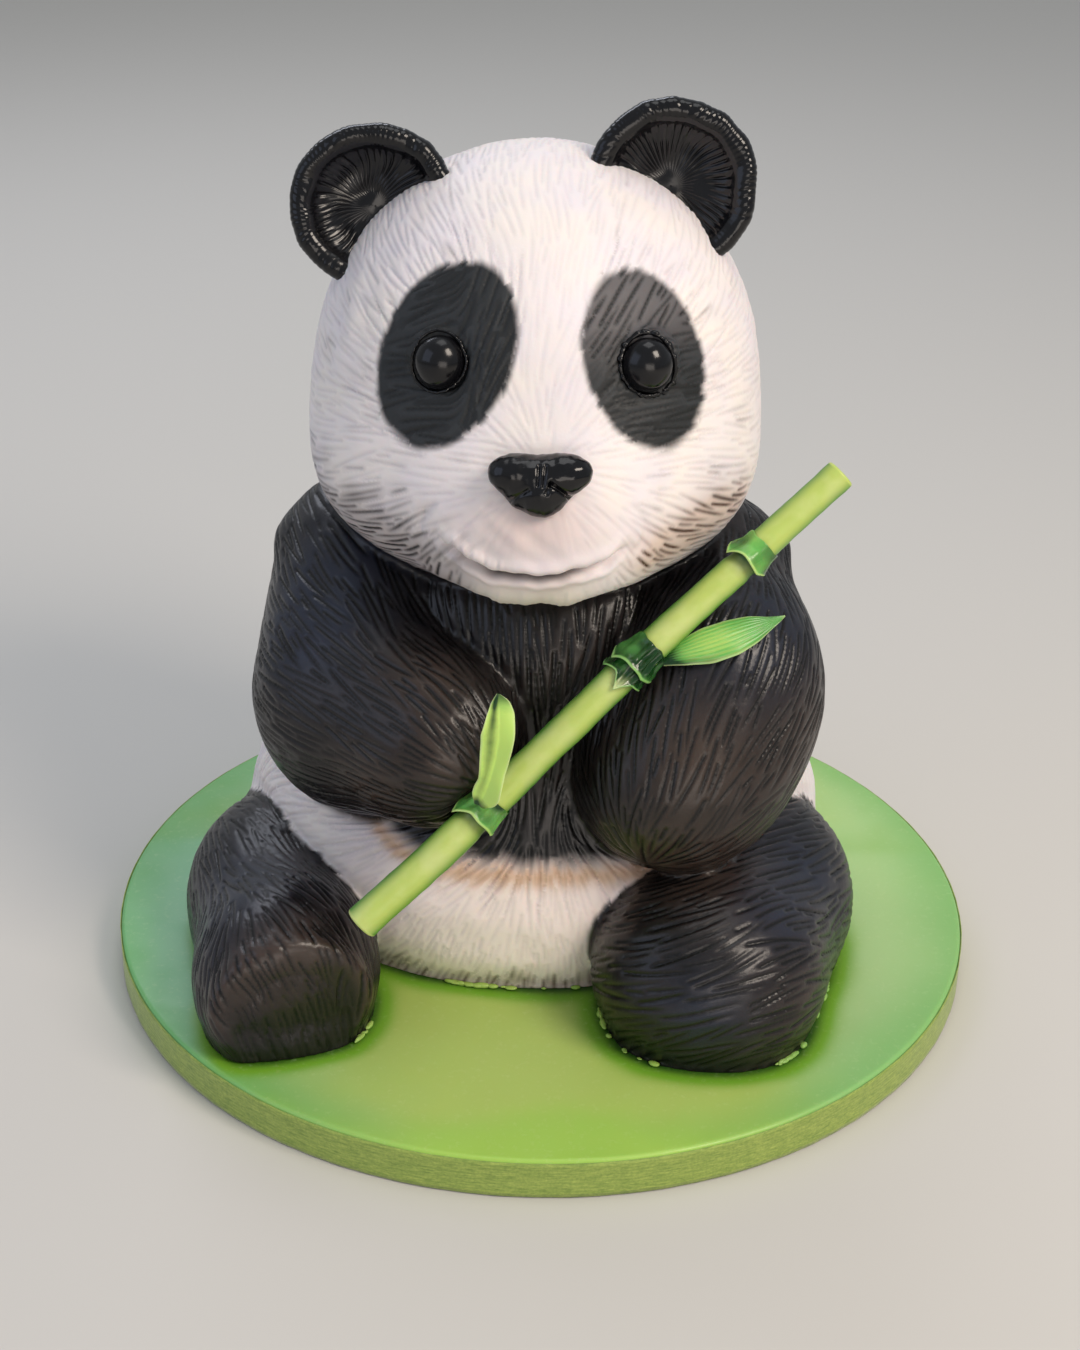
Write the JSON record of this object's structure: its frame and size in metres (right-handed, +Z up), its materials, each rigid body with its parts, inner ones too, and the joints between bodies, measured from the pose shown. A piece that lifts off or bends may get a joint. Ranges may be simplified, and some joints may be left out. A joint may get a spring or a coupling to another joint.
{
  "type": "panda display cake",
  "caption": "Seated panda sculpted in sugar paste on a round covered cake board, holding a leafy bamboo cane across its chest.",
  "frame": {"origin": "centre of the cake board's underside, on the table", "axes": "+Z up, the panda faces -Y, and its own left side is +X"},
  "size_m": [0.3566, 0.3566, 0.3526],
  "materials": {
    "drum_board": "satin foil paper over board",
    "icing_green": "rolled sugar paste, satin",
    "ribbon_green": "matte ribbon",
    "paste_white": "carved sugar paste, satin",
    "paste_black": "carved and airbrushed sugar paste, low sheen",
    "glaze_black": "glazed sugar paste, gloss",
    "cane_green": "sugar paste, semi-gloss",
    "leaf_green": "sugar paste, semi-gloss"
  },
  "bodies": {
    "root": {"board_drum": "drum_board", "board_icing": "icing_green", "edge_ribbon": "ribbon_green", "trunk": "paste_black", "tail": "paste_white", "leg_right": "paste_black", "leg_left": "paste_black", "arm_right": "paste_black", "arm_left": "paste_black", "head": "paste_white", "nose": "glaze_black", "eye_right": "glaze_black", "eye_left": "glaze_black", "ear_right": "glaze_black", "ear_left": "glaze_black", "bamboo_cane": "cane_green", "sheath_low": "leaf_green", "sheath_middle": "leaf_green", "sheath_high": "leaf_green", "leaf_low": "leaf_green", "leaf_high": "leaf_green"}
  },
  "joints": []
}
